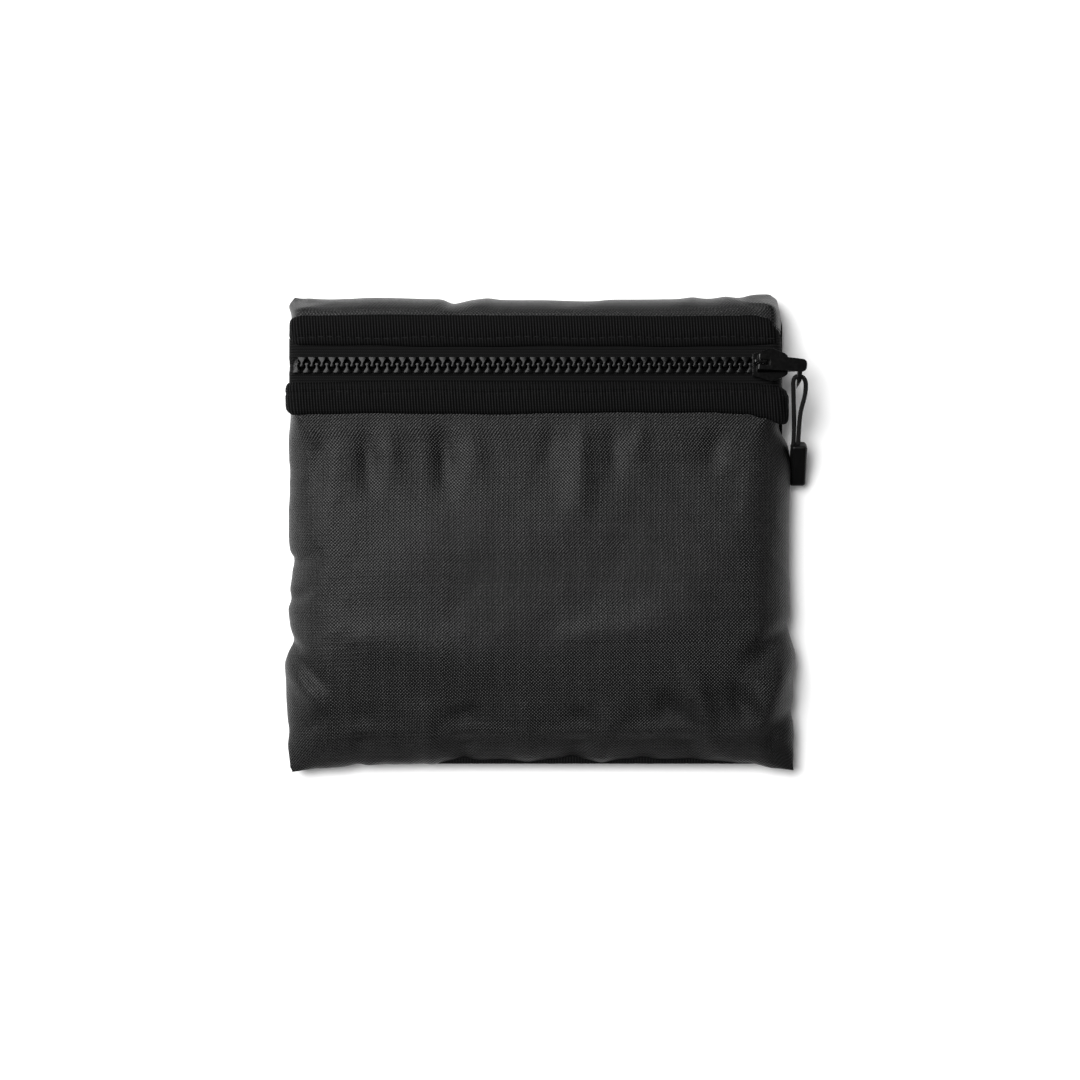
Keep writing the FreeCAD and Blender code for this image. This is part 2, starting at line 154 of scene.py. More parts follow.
def ripstop_material(name="ripstop_nylon", base=0.0014):
    """Black nylon: a dotted plain weave with a faint grid of thicker threads."""
    material, tree, shader = new_material(name)
    n = Nodes(tree)
    u, v, vector = n.cloth_coordinates()
    grid_u = n.math("POWER", n.wave(u, 1.8), 8.0)
    grid_v = n.math("POWER", n.wave(v, 1.8), 8.0)
    grid = n.math("MAXIMUM", grid_u, grid_v)
    sum_wave = n.wave(n.math("ADD", u, v), 1.1)
    difference_wave = n.wave(n.math("SUBTRACT", u, v), 1.1)
    dots = n.math("MULTIPLY", sum_wave, difference_wave)
    noise = n.add("ShaderNodeTexNoise")
    noise.inputs["Scale"].default_value = 0.5
    noise.inputs["Detail"].default_value = 5.0
    n.link(vector, noise.inputs["Vector"])
    height = n.math("ADD", n.math("MULTIPLY", grid, 0.15), n.math("MULTIPLY", dots, 0.85))
    n.bump(height, 0.8, 0.0003, shader)
    ramp = n.add("ShaderNodeMapRange")
    ramp.inputs["To Min"].default_value = 0.30
    ramp.inputs["To Max"].default_value = 0.46
    n.link(noise.outputs["Fac"], ramp.inputs["Value"])
    n.link(ramp.outputs[0], shader.inputs["Roughness"])
    # Base colour is lighter on the raised dots and grid threads and near black between them: painted
    # highlight and painted shade on the weave; the noise adds uneven tone.
    mix = n.add("ShaderNodeMix", data_type="RGBA")
    mix.inputs[6].default_value = (base * 0.5, base * 0.5, base * 0.54, 1)
    mix.inputs[7].default_value = (base * 12.0, base * 12.0, base * 12.3, 1)
    painted_weave_highlight = n.math("MULTIPLY", n.math("POWER", dots, 1.6), noise.outputs["Fac"])
    n.link(n.math("ADD", painted_weave_highlight, n.math("MULTIPLY", grid, 0.10)), mix.inputs[0])
    n.link(mix.outputs[2], shader.inputs["Base Color"])
    shader.inputs["Specular IOR Level"].default_value = 0.27
    return material


def grosgrain_material(name="grosgrain", base=0.001):
    """Ribbed tape: ribs across its width, each a row of fine threads."""
    material, tree, shader = new_material(name)
    n = Nodes(tree)
    u, v, vector = n.cloth_coordinates()
    ribs = n.wave(u, RIB)
    threads = n.wave(v, 0.55)
    height = n.math("ADD", n.math("MULTIPLY", ribs, 0.7), n.math("MULTIPLY", threads, 0.3))
    n.bump(height, 0.6, 0.0002, shader)
    noise = n.add("ShaderNodeTexNoise")
    noise.inputs["Scale"].default_value = 2.5
    n.link(vector, noise.inputs["Vector"])
    # Base colour is lighter on the rib crests and near black in the troughs between them: painted
    # highlight and painted shade on the ribs; the noise adds uneven tone.
    mix = n.add("ShaderNodeMix", data_type="RGBA")
    mix.inputs[6].default_value = (base * 0.2, base * 0.2, base * 0.2, 1)
    mix.inputs[7].default_value = (base * 15.0, base * 15.0, base * 15.4, 1)
    painted_rib_highlight = n.math("MULTIPLY", n.math("POWER", ribs, 3.0), n.math("ADD", threads, 0.4))
    n.link(n.math("MULTIPLY", painted_rib_highlight, n.math("MULTIPLY", noise.outputs["Fac"], 1.4)),
           mix.inputs[0])
    n.link(mix.outputs[2], shader.inputs["Base Color"])
    shader.inputs["Roughness"].default_value = 0.75
    shader.inputs["Specular IOR Level"].default_value = 0.05
    return material


def tape_material(name="zip_tape", base=0.001):
    """Woven zip tape: a herringbone of short slanting threads."""
    material, tree, shader = new_material(name)
    n = Nodes(tree)
    u, v, _ = n.cloth_coordinates()
    fold = n.math("PINGPONG", v, 0.9)
    slant = n.math("ADD", u, fold)
    height = n.math("MULTIPLY", n.wave(slant, 0.62), n.wave(v, 0.9))
    n.bump(height, 0.7, 0.0002, shader)
    # Base colour follows the bump's height, lighter on the raised threads and near black between
    # them: painted highlight and painted shade on the weave.
    mix = n.add("ShaderNodeMix", data_type="RGBA")
    mix.inputs[6].default_value = (base * 0.5, base * 0.5, base * 0.5, 1)
    mix.inputs[7].default_value = (base * 13.0, base * 13.0, base * 13.3, 1)
    n.link(height, mix.inputs[0])
    n.link(mix.outputs[2], shader.inputs["Base Color"])
    shader.inputs["Roughness"].default_value = 0.7
    shader.inputs["Specular IOR Level"].default_value = 0.06
    return material


def moulded_material(name, base, roughness, grain, level=0.4):
    """Plastic or enamel with a fine uneven surface."""
    material, tree, shader = new_material(name)
    n = Nodes(tree)
    coordinates = n.add("ShaderNodeTexCoord")
    noise = n.add("ShaderNodeTexNoise")
    noise.inputs["Scale"].default_value = 900.0
    noise.inputs["Detail"].default_value = 3.0
    n.link(coordinates.outputs["Object"], noise.inputs["Vector"])
    n.bump(noise.outputs["Fac"], grain, 0.0001, shader)
    ramp = n.add("ShaderNodeMapRange")
    ramp.inputs["To Min"].default_value = roughness - 0.06
    ramp.inputs["To Max"].default_value = roughness + 0.08
    n.link(noise.outputs["Fac"], ramp.inputs["Value"])
    n.link(ramp.outputs[0], shader.inputs["Roughness"])
    shader.inputs["Base Color"].default_value = (base, base, base * 1.03, 1)
    shader.inputs["Specular IOR Level"].default_value = level
    return material


def braid_material(name="braided_cord", base=0.0035):
    """Braided cord: two sets of strands that wind opposite ways."""
    material, tree, shader = new_material(name)
    n = Nodes(tree)
    coordinates = n.add("ShaderNodeTexCoord")
    split = n.add("ShaderNodeSeparateXYZ")
    n.link(coordinates.outputs["Object"], split.inputs[0])
    millimetres = [n.math("MULTIPLY", split.outputs[i], 1000.0) for i in range(2)]
    one = n.wave(n.math("ADD", *millimetres), 0.75)
    other = n.wave(n.math("SUBTRACT", *millimetres), 0.75)
    height = n.math("MAXIMUM", one, other)
    n.bump(height, 0.8, 0.00025, shader)
    # Base colour follows the bump's height, lighter on the raised strands and darker between them:
    # painted highlight and painted shade on the braid.
    mix = n.add("ShaderNodeMix", data_type="RGBA")
    mix.inputs[6].default_value = (base * 0.4, base * 0.4, base * 0.4, 1)
    mix.inputs[7].default_value = (base * 2.0, base * 2.0, base * 2.0, 1)
    n.link(height, mix.inputs[0])
    n.link(mix.outputs[2], shader.inputs["Base Color"])
    shader.inputs["Roughness"].default_value = 0.7
    shader.inputs["Specular IOR Level"].default_value = 0.15
    return material


# ---------------------------------------------------------------- mesh helpers
def mesh_object(name, points, faces, cloth=None, material=None, smooth=True):
    """A mesh from points in millimetres; cloth gives each point's place on the flat cloth."""
    mesh = bpy.data.meshes.new(name)
    mesh.from_pydata([tuple(p * MM) for p in points], [], faces)
    if cloth is not None:
        attribute = mesh.attributes.new("cloth", "FLOAT_VECTOR", "POINT")
        attribute.data.foreach_set("vector", np.asarray(cloth, dtype=np.float32).ravel())
    mesh.polygons.foreach_set("use_smooth", [smooth] * len(mesh.polygons))
    piece = bpy.data.objects.new(name, mesh)
    bpy.context.collection.objects.link(piece)
    if material is not None:
        mesh.materials.append(material)
    return piece


def grid_faces(rows, columns, keep=None):
    """Quads over a grid stored row by row; keep picks cells by row and column."""
    faces = []
    for r in range(rows - 1):
        for c in range(columns - 1):
            if keep is None or keep(r, c):
                a = r * columns + c
                faces.append((a, a + 1, a + columns + 1, a + columns))
    return faces


def add_modifier(piece, kind, name, **values):
    modifier = piece.modifiers.new(name, kind)
    for key, value in values.items():
        setattr(modifier, key, value)
    return modifier


def smoothstep(value, low, high):
    t = np.clip((value - low) / (high - low), 0.0, 1.0)
    return t * t * (3 - 2 * t)


def through(points):
    """A smooth function through a few points, level at each of them."""
    xs, ys = np.array(points, dtype=float).T

    def value(x):
        x = np.clip(x, xs[0], xs[-1])
        i = np.clip(np.searchsorted(xs, x) - 1, 0, len(xs) - 2)
        t = (x - xs[i]) / (xs[i + 1] - xs[i])
        t = t * t * (3 - 2 * t)
        return ys[i] + (ys[i + 1] - ys[i]) * t
    return value


# ---------------------------------------------------------------- the pouch's surface
def middle_of_zip():
    """Y of the line where the two rows of teeth meet."""
    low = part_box("zip_teeth_lower")[0][1]
    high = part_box("zip_teeth_upper")[1][1]
    return (low + high) / 2 / MM


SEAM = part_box("back_panel")[1][2] / MM
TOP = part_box("front_panel")[1][2] / MM
ZIP_LINE = middle_of_zip()
BAND_LOW, BAND_HIGH = 40.0, 73.2

left_edge = through([(-79, -83.2), (-66, -84.6), (-44, -85.4), (-30, -84.2), (-22, -84.9),
                     (-10, -83.2), (0, -84.5), (20, -84.0), (30, -84.6), (40, -83.8),
                     (52, -84.0), (66, -83.2), (72, -83.5), (75.5, -84.4), (79, -82.4)])
right_edge = through([(-79, 84.6), (-60, 84.6), (-35, 83.8), (-5, 83.2), (11, 83.2),
                      (24, 83.7), (30, 82.6), (35.5, 79.6), (41, 80.2), (50, 80.6),
                      (60, 79.6), (70, 80.4), (74, 80.0), (78, 77.6)])
bottom_edge = through([(-84, -79.6), (-72, -78.2), (-48, -76.9), (-30, -76.0), (0, -75.2),
                       (20, -75.5), (50, -75.4), (68, -76.6), (84, -79.0)])
top_edge = through([(-84, 79.4), (-70, 78.7), (-52, 79.3), (-34, 78.9), (-28, 77.6),
                    (-22, 78.5), (10, 78.4), (38, 78.7), (56, 79.0), (64, 79.9), (76, 80.4),
                    (82, 78.6)])

# Soft folds of the front: start, end, width, height (a valley is negative).
FOLDS = [
    # pleats that hang from the lower binding
    ((-72, 40), (-74, 8), 3.2, -0.9), ((-58, 40), (-57, 14), 3.0, -1.1),
    ((-50, 40), (-49, 18), 3.4, 0.7), ((-33, 40), (-31, 12), 3.6, -1.2),
    ((-24, 40), (-21, 18), 4.0, 0.6), ((4, 40), (2, 22), 3.0, -0.6),
    ((14, 40), (12, 6), 4.6, 0.9), ((24, 40), (24, 20), 3.0, -0.7),
    ((34, 40), (31, 24), 3.0, 0.6), ((60, 40), (56, 22), 4.0, -0.7),
    # creases that come in from the left edge
    ((-86, -9), (-74, -7), 1.8, -2.2), ((-86, -22), (-76, -19), 2.0, -2.0),
    ((-85, -34), (-72, -52), 2.6, -2.8), ((-84, -44), (-72, -58), 3.2, 1.6),
    ((-84, -66), (-70, -62), 3.0, -1.0),
    # facets of the lower right corner
    ((84, -30), (66, -44), 3.4, -2.0), ((84, -40), (72, -64), 4.6, 2.2),
    ((80, -74), (62, -50), 3.4, -2.4), ((58, -70), (48, -44), 4.5, 1.5),
    ((50, -72), (40, -54), 3.4, -1.6), ((86, -58), (76, -66), 2.4, -1.6),
    # waves along the lower edge
    ((-26, -78), (-24, -58), 4.0, -1.8), ((-36, -76), (-40, -56), 5.0, 1.6),
    ((10, -78), (14, -60), 4.0, -1.8), ((20, -76), (24, -56), 5.0, 1.6),
    ((-62, -78), (-58, -58), 4.5, -1.3), ((-4, -76), (-6, -54), 6.0, 1.4),
    ((34, -78), (36, -62), 3.6, -1.1),
    # long shallow sags of the whole front
    ((-60, -34), (-6, -42), 9.0, 0.9), ((10, -34), (58, -28), 8.0, 0.8),
    ((-20, -14), (50, -8), 14.0, -0.5),
]
STRIP_FOLDS = [
    ((-80, 78), (-66, 73), 2.4, -1.0), ((-28, 80), (-34, 72), 2.2, -1.1),
    ((-16, 80), (-24, 73), 2.6, 0.7), ((52, 80), (44, 73), 2.6, 0.9),
    ((64, 82), (74, 72), 2.2, -1.5), ((82, 80), (68, 72), 2.2, 1.4),
    ((78, 82), (84, 70), 2.0, -1.4), ((20, 79), (2, 75), 2.2, -0.6),
]


def fold_height(x, y, folds):
    """Sum of the folds: each a ridge or valley that fades at both ends."""
    total = np.zeros_like(x)
    for (x0, y0), (x1, y1), width, height in folds:
        along = np.array([x1 - x0, y1 - y0], dtype=float)
        length = np.hypot(*along)
        along /= length
        s = ((x - x0) * along[0] + (y - y0) * along[1]) / length
        across = (x - x0) * -along[1] + (y - y0) * along[0]
        fade = smoothstep(s, -0.25, 0.1) * (1 - smoothstep(s, 0.55, 1.25))
        spread = width * (0.8 + 0.6 * np.clip(s, 0, 1))
        total += 1.35 * height * fade * np.exp(-(across / (0.78 * spread)) ** 2)
    return total


def ripple(x, y):
    """Faint unevenness of thin cloth."""
    slow = np.sin(0.071 * x + 1.3) * np.sin(0.083 * y + 0.4) + 0.6 * np.sin(0.13 * x - 0.11 * y)
    quick = np.sin(0.31 * x + 0.9 * np.sin(0.1 * y)) * np.sin(0.27 * y + 1.1 * np.sin(0.13 * x))
    warp = 2.0 * np.sin(0.09 * x) + 1.6 * np.sin(0.12 * y + 0.7)
    one = 1 - np.abs(np.sin(0.16 * x + 0.07 * y + warp))
    other = 1 - np.abs(np.sin(0.05 * x - 0.19 * y + 1.4 * warp))
    near_rim = smoothstep(np.abs(x), 52, 84) + smoothstep(-y, 34, 74)
    return 0.16 * slow + 0.09 * quick + (one ** 5 + other ** 5) * (0.08 + 0.34 * near_rim)


def band_share(y):
    """1 on the stiff band of the zip and its bindings, 0 on the soft cloth."""
    return smoothstep(y, BAND_LOW - 14, BAND_LOW) * (1 - smoothstep(y, BAND_HIGH, BAND_HIGH + 4))


def side_rounding(y):
    return 15.0 - 11.0 * band_share(y)


def crown(x, y):
    """Height of the filled front above the zip's plane."""
    swell = smoothstep(y, -74, -28) * (1 - smoothstep(y, -14, 32))
    across = np.clip(1 - (x / 86) ** 4, 0, 1)
    tuck = np.exp(-((y - 39.5) / 2.4) ** 2)
    return 3.6 * swell * across - 0.55 * tuck


EDGE_STEPS = 9
BOTTOM_STEPS = 20
TOP_STEPS = 9
BOTTOM_ROUNDING = 40.0
TOP_ROUNDING = 6.0
BACK_ROUNDING = 9.0
MIDDLE_COLUMNS = 78
MIDDLE_ROWS = 62
NOMINAL_LOW, NOMINAL_HIGH = -77.0, 78.4
NOMINAL_LENGTH = NOMINAL_HIGH - NOMINAL_LOW
STACK_CLEARANCE = 0.9
STACK_SLOPE = 1.3


def grid_lines(first, middle, last):
    """Each line's angle up the two rounded edges and its share of the level middle."""
    rise = np.linspace(0, math.pi / 2, first + 1)
    fall = np.linspace(math.pi / 2, 0, last + 1)
    inner = np.linspace(0, 1, middle + 1)
    angle = np.concatenate([rise, np.full(middle - 1, math.pi / 2), fall])
    share = np.concatenate([np.zeros(first), inner, np.ones(last)])
    side = np.concatenate([-np.ones(first + 1), np.zeros(middle - 1), np.ones(last + 1)])
    return angle, share, side


def over_stack(x, y):
    """The least height of cloth that lies over the folded tote and slopes down past its edges."""
    low, high = (np.array(corner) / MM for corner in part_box("tote_wall_upper"))
    outside = np.maximum.reduce([low[0] - x, x - high[0], low[1] - y, y - high[1],
                                 np.zeros_like(x)])
    return high[2] + STACK_CLEARANCE - STACK_SLOPE * outside


def pouch_grid(front=True):
    """Points of the front or back cloth, row by row from the bottom edge up."""
    ax, sx, kx = grid_lines(EDGE_STEPS, MIDDLE_COLUMNS, EDGE_STEPS)
    low_steps, low_round = (BOTTOM_STEPS, BOTTOM_ROUNDING) if front else (EDGE_STEPS, BACK_ROUNDING)
    ay, sy, ky = grid_lines(low_steps, MIDDLE_ROWS, TOP_STEPS)
    level = NOMINAL_LENGTH - low_round - TOP_ROUNDING
    nominal_y = np.where(ky < 0, NOMINAL_LOW + low_round * (1 - np.cos(ay)),
                         np.where(ky > 0, NOMINAL_HIGH - TOP_ROUNDING * (1 - np.cos(ay)),
                                  NOMINAL_LOW + low_round + sy * level))
    y = np.repeat(nominal_y[:, None], len(ax), axis=1)
    rounding = side_rounding(y) if front else np.full_like(y, BACK_ROUNDING)
    left, right = left_edge(y), right_edge(y)
    inner_left, inner_right = left + rounding, right - rounding
    x = np.where(kx[None] < 0, left + rounding * (1 - np.cos(ax))[None],
                 np.where(kx[None] > 0, right - rounding * (1 - np.cos(ax))[None],
                          inner_left + sx[None] * (inner_right - inner_left)))
    v = (y - NOMINAL_LOW) / NOMINAL_LENGTH
    y = bottom_edge(x) * (1 - v) + top_edge(x) * v
    lift = np.sin(ax)[None] * np.sin(ay)[:, None]
    flat = np.cos(ax)[None] * kx[None], np.cos(ay)[:, None] * ky[:, None]
    folds = FOLDS + STRIP_FOLDS
    calm = 1 - band_share(y)
    bend = (fold_height(x, y, folds) + ripple(x, y)) * calm
    if front:
        smooth_z = SEAM + (TOP + crown(x, y) * calm - SEAM) * lift ** 1.2
        z = np.maximum(smooth_z + bend * lift, over_stack(x, y))
    else:
        smooth_z = SEAM * (1 - np.clip(lift * 1.02, 0, 1) ** 0.8)
        z = smooth_z
    cloth = arc_map(x, y, smooth_z)
    bulge = 0.6 * bend * (1 - lift)
    x = x + bulge * flat[0]
    y = y + bulge * flat[1]
    return x, y, z, cloth


def as_points(x, y, z):
    return np.stack([x.ravel(), y.ravel(), z.ravel()], axis=1)


def arc_map(x, y, z):
    """Flat cloth coordinates from arc lengths, so the weave wraps round the edges."""
    du = np.sqrt(np.diff(x, axis=1) ** 2 + np.diff(z, axis=1) ** 2)
    dv = np.sqrt(np.diff(y, axis=0) ** 2 + np.diff(z, axis=0) ** 2)
    u = np.concatenate([np.zeros((x.shape[0], 1)), np.cumsum(du, axis=1)], axis=1)
    v = np.concatenate([np.zeros((1, x.shape[1])), np.cumsum(dv, axis=0)], axis=0)
    u -= u[:, x.shape[1] // 2][:, None]
    v -= v[x.shape[0] // 2][None]
    return np.stack([u.ravel(), v.ravel(), np.zeros(x.size)], axis=1)


def pouch_cloth(material):
    """Front panel, top strip and back panel, each a sheet with real thickness."""
    x, y, z, cloth = pouch_grid(front=True)
    rows, columns = x.shape
    points = as_points(x, y, z)
    middle = y[:, columns // 2]
    left_open, right_open = -80.5, 79.0

    def in_band(r, c):
        return (ZIP_LINE - 11 < middle[r] and middle[r + 1] < ZIP_LINE + 11
                and left_open < x[r, c] and x[r, c + 1] < right_open)

    def keep_front(r, c):
        return middle[r] < ZIP_LINE + 11.2 and not in_band(r, c)

    def keep_strip(r, c):
        return middle[r] >= ZIP_LINE + 11.2

    pieces = {}
    for name, keep in (("front_cloth", keep_front), ("strip_cloth", keep_strip)):
        pieces[name] = mesh_object(name, points, grid_faces(rows, columns, keep), cloth, material)
    x, y, z, cloth = pouch_grid(front=False)
    faces = [face[::-1] for face in grid_faces(*x.shape)]
    pieces["back_cloth"] = mesh_object("back_cloth", as_points(x, y, z), faces, cloth, material)
    nodes = {"front_cloth": "front_panel", "strip_cloth": "top_strip", "back_cloth": "back_panel"}
    for name, piece in pieces.items():
        drop_loose(piece)
        add_modifier(piece, "SOLIDIFY", "thickness", thickness=0.0003, offset=-1.0)
        add_modifier(piece, "SUBSURF", "smooth", levels=1, render_levels=1)
        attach(piece, "pouch")
        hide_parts(nodes[name])
    return pieces


def drop_loose(piece):
    """Delete vertices that no face uses."""
    mesh = bmesh.new()
    mesh.from_mesh(piece.data)
    loose = [vertex for vertex in mesh.verts if not vertex.link_faces]
    bmesh.ops.delete(mesh, geom=loose, context="VERTS")
    mesh.to_mesh(piece.data)
    mesh.free()


# ---------------------------------------------------------------- bindings, tapes, stitches
STITCH_OFFSET = 9.0


def end_path(left, right, drop_left, drop_right, step):
    """Points along X over the band, turning down over the pouch's two ends."""
    radius = 3.6
    flat = np.arange(left + radius, right - radius, step)
    points = [(px, TOP) for px in flat]
    for centre, sign, reach in ((right - radius, 1, drop_right), (left + radius, -1, drop_left)):
        arc = [(centre + sign * radius * math.sin(a), TOP - radius + radius * math.cos(a))
               for a in np.linspace(0, math.pi / 2, 10)[1:]]
        drop = np.linspace(0, reach, 8)[1:]
        arc += [(centre + sign * radius * (1 - 0.08 * d), TOP - radius - d) for d in drop]
        points = points + arc if sign > 0 else arc[::-1] + points
    return np.array(points)


BINDING_THICK = 0.75

# Each binding: its ends along X, then its lower and upper edges as lines over X.
BINDINGS = {
    "lower": ((-83.9, 81.4),
              through([(-84.7, 40.9), (-82, 39.5), (-74, 39.9), (-40, 39.7), (20, 40.0),
                       (56, 40.3), (68, 39.9), (74, 38.4), (79.3, 36.2), (82.5, 36.6)]),
              through([(-84.7, 50.2), (-40, 50.9), (10, 50.6), (56, 50.5), (68, 50.2),
                       (75, 49.4), (79, 48.6), (82.5, 47.0)])),
    "upper": ((-82.6, 78.6),
              through([(-83.5, 62.4), (-40, 62.1), (20, 62.1), (60, 62.2), (79.4, 62.6)]),
              through([(-83.5, 71.6), (-78, 72.3), (-40, 72.6), (10, 72.2), (60, 72.2),
                       (70, 72.4), (75, 71.4), (78, 68.0), (79.6, 63.4)])),
}


def binding(side, material):
    """A grosgrain tape with rounded edges, real ribs and a stitched crease."""
    (left, right), low_edge, high_edge = BINDINGS[side]
    path = end_path(left, right, 3.0, 3.0, RIB / 4)
    lengths = np.concatenate([[0], np.cumsum(np.hypot(*np.diff(path, axis=0).T))])
    tangent = np.gradient(path, axis=0)
    tangent /= np.linalg.norm(tangent, axis=1)[:, None]
    normal = np.stack([-tangent[:, 1], tangent[:, 0]], axis=1)
    across = np.linspace(0, 1, 21)
    bow = np.clip(1 - np.abs(across * 2 - 1) ** 6, 0, 1)
    rib = 0.5 + 0.5 * np.cos(2 * math.pi * lengths / RIB)
    wander = 0.18 * np.sin(0.09 * lengths + left) + 0.1 * np.sin(0.23 * lengths)
    stitch_row = ZIP_LINE + (STITCH_OFFSET if side == "upper" else -STITCH_OFFSET)
    lows = low_edge(path[:, 0]) + wander
    highs = high_edge(path[:, 0]) + wander * 0.4
    points, cloth = [], []
    for i, (px, pz) in enumerate(path):
        crease = stitch_row + 0.35 * math.sin(0.19 * lengths[i] + left)
        for j, share in enumerate(across):
            y = lows[i] + (highs[i] - lows[i]) * share
            groove = 0.30 * math.exp(-((y - crease) / 0.5) ** 2)
            pucker = 0.10 * math.sin(2 * math.pi * lengths[i] / 3.1) * math.exp(
                -((y - crease) / 1.6) ** 2)
            h = 0.05 + BINDING_THICK * bow[j] + 0.14 * rib[i] * bow[j] - groove + pucker
            points.append((px + normal[i][0] * h, y, pz + normal[i][1] * h))
            cloth.append((lengths[i] + 0.08 * (y - lows[i]), y, 0))
    rows, columns = len(path), len(across)
    count = len(points)
    for i, (px, pz) in enumerate(path):
        for share in across:
            y = lows[i] + (highs[i] - lows[i]) * share
            points.append((px - normal[i][0] * 0.02, y, pz - normal[i][1] * 0.02))
            cloth.append((lengths[i], y, 0))
    top = grid_faces(rows, columns)
    under = [tuple(k + count for k in face[::-1]) for face in top]
    faces = top + under + rim_walls(rows, columns, count)
    piece = mesh_object(f"binding_{side}_tape", np.array(points), faces, cloth, material)
    fix_normals(piece)
    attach(piece, "pouch")
    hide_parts(f"binding_{side}")
    return piece


def rim_walls(rows, columns, count):
    """Quads that join a grid's rim to the rim of its copy, count points later."""
    long_sides = [(r * columns + c, (r + 1) * columns + c)
                  for c in (0, columns - 1) for r in range(rows - 1)]
    short_sides = [(r * columns + c, r * columns + c + 1)
                   for r in (0, rows - 1) for c in range(columns - 1)]
    return [(a, b, b + count, a + count) for a, b in long_sides + short_sides]


def fix_normals(piece):
    mesh = bmesh.new()
    mesh.from_mesh(piece.data)
    bmesh.ops.recalc_face_normals(mesh, faces=mesh.faces)
    mesh.to_mesh(piece.data)
    mesh.free()


def capsule(mesh, centre, length, width, height):
    """A rounded stitch lying along X."""
    shape = bmesh.ops.create_uvsphere(mesh, u_segments=10, v_segments=8, radius=0.5)["verts"]
    for vertex in shape:
        x, y, z = vertex.co
        stretch = math.copysign(abs(x * 2) ** 0.45, x) / 2
        vertex.co = Vector((centre[0] + stretch * length, centre[1] + y * width,
                            centre[2] + z * height)) * MM


def stitches(side, material):
    """Small sunk stitches in the binding's crease."""
    low, high = (np.array(corner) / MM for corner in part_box(f"stitches_{side}"))
    y = (low[1] + high[1]) / 2
    pitch, length = 3.1, 2.3
    (left, _), _, _ = BINDINGS[side]
    mesh = bmesh.new()
    start, end = low[0] + 0.6, high[0] - 3.4
    for i in range(int((end - start) / pitch) + 1):
        x = start + length / 2 + i * pitch
        crease = y + 0.35 * math.sin(0.19 * (x - left) + left)
        capsule(mesh, (x, crease, TOP + BINDING_THICK - 0.2), length, 0.40, 0.30)
    data = bpy.data.meshes.new(f"stitches_{side}_thread")
    mesh.to_mesh(data)
    mesh.free()
    piece = bpy.data.objects.new(data.name, data)
    bpy.context.collection.objects.link(piece)
    data.materials.append(material)
    data.polygons.foreach_set("use_smooth", [True] * len(data.polygons))
    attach(piece, "pouch")
    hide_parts(f"stitches_{side}")
    return piece


TAPE_ENDS = (-83.6, 79.8)


def tape(side, material):
    """Zip tape: a woven strip with a bead along the teeth, turned down at its ends."""
    sign = 1 if side == "upper" else -1
    path = end_path(*TAPE_ENDS, 1.5, 0.4, 0.8)
    offsets = np.array([0.1, 0.8, 1.6, 2.2, 2.5, 2.8, 3.1, 3.5, 4.2, 5.0, 6.0, 7.5, 9.0])
    bead = np.array([-2.4, -2.3, -1.6, 0.0, 0.36, 0.42, 0.3, 0.04, 0.0, 0.02, 0.03, 0.0, -0.05])
    lengths = np.concatenate([[0], np.cumsum(np.hypot(*np.diff(path, axis=0).T))])
    points, cloth = [], []
    for i, (px, pz) in enumerate(path):
        wave = 0.05 * math.sin(2 * math.pi * px / 3.33)
        for offset, lift in zip(offsets, bead):
            points.append((px, ZIP_LINE + sign * offset, 
                           pz - 0.05 + lift * 0.6 + wave * (lift > 0.1)))
            cloth.append((lengths[i], offset, 0))
    faces = grid_faces(len(path), len(offsets))
    piece = mesh_object(f"tape_{side}", np.array(points), faces, cloth, material)
    fix_normals(piece)
    add_modifier(piece, "SOLIDIFY", "thickness", thickness=0.0004, offset=-1.0)
    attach(piece, "pouch")
    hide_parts(f"zip_tape_{side}")
    return piece


# ---------------------------------------------------------------- teeth and hardware
FOOT = 1.35
TEETH_IN_A_ROW = 47


def teeth(side, material):
    """One row of moulded teeth: a foot on the tape, a neck and a round head."""
    sign = 1 if side == "upper" else -1
    low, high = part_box(f"zip_teeth_{side}")
    length = (high[0] - low[0]) / MM
    pitch = (length - 2 * FOOT) / (TEETH_IN_A_ROW - 1)
    first = low[0] / MM + FOOT
    profile = [(-FOOT, 2.7), (FOOT, 2.7), (FOOT, 2.1), (0.95, 1.5), (0.5, 0.9), (0.45, 0.3),
               (0.8, 0.0), (0.8, -0.4), (0.45, -0.8), (-0.45, -0.8), (-0.8, -0.4), (-0.8, 0.0),
               (-0.45, 0.3), (-0.5, 0.9), (-0.95, 1.5), (-FOOT, 2.1)]
    points, faces = [], []
    for i in range(TEETH_IN_A_ROW):
        base = len(points)
        shift = first + i * pitch
        for level in (15.5, 18.0):
            points += [(shift + px, ZIP_LINE + sign * py, level) for px, py in profile]
        n = len(profile)
        faces.append(tuple(base + k for k in range(n))[::-1])
        faces.append(tuple(base + n + k for k in range(n)))
        faces += [(base + k, base + (k + 1) % n, base + n + (k + 1) % n, base + n + k)
                  for k in range(n)]
    piece = mesh_object(f"teeth_{side}", np.array(points), faces, None, material)
    fix_normals(piece)
    add_modifier(piece, "BEVEL", "soft_edges", width=0.00024, segments=3, limit_method="ANGLE")
    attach(piece, "pouch")
    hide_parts(f"zip_teeth_{side}")
    return piece


def narrowed_nose(point):
    """The slider's right end drawn in towards the zip's line."""
    x, y, z = (value / MM for value in point)
    share = 0.36 * float(smoothstep(x, 77.0, 81.4))
    return Vector((x, y + (ZIP_LINE - y) * share, z)) * MM


def leaning_side(point):
    """The tab's lower long side widened at its base, so the side leans outwards."""
    (low_x, _, low_z), (high_x, _, high_z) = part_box("pull_tab")
    middle = TAB_MIDDLE + TAB_SLOPE * (point.x - low_x) / (high_x - low_x)
    depth = (high_z - point.z) / (high_z - low_z)
    if point.x > high_x - 0.0032:
        return point
    wide = Vector((point.x, middle + (point.y - middle) * TAB_WIDENING, point.z))
    return wide if point.y > middle else wide - Vector((0, TAB_LEAN * depth, 0))


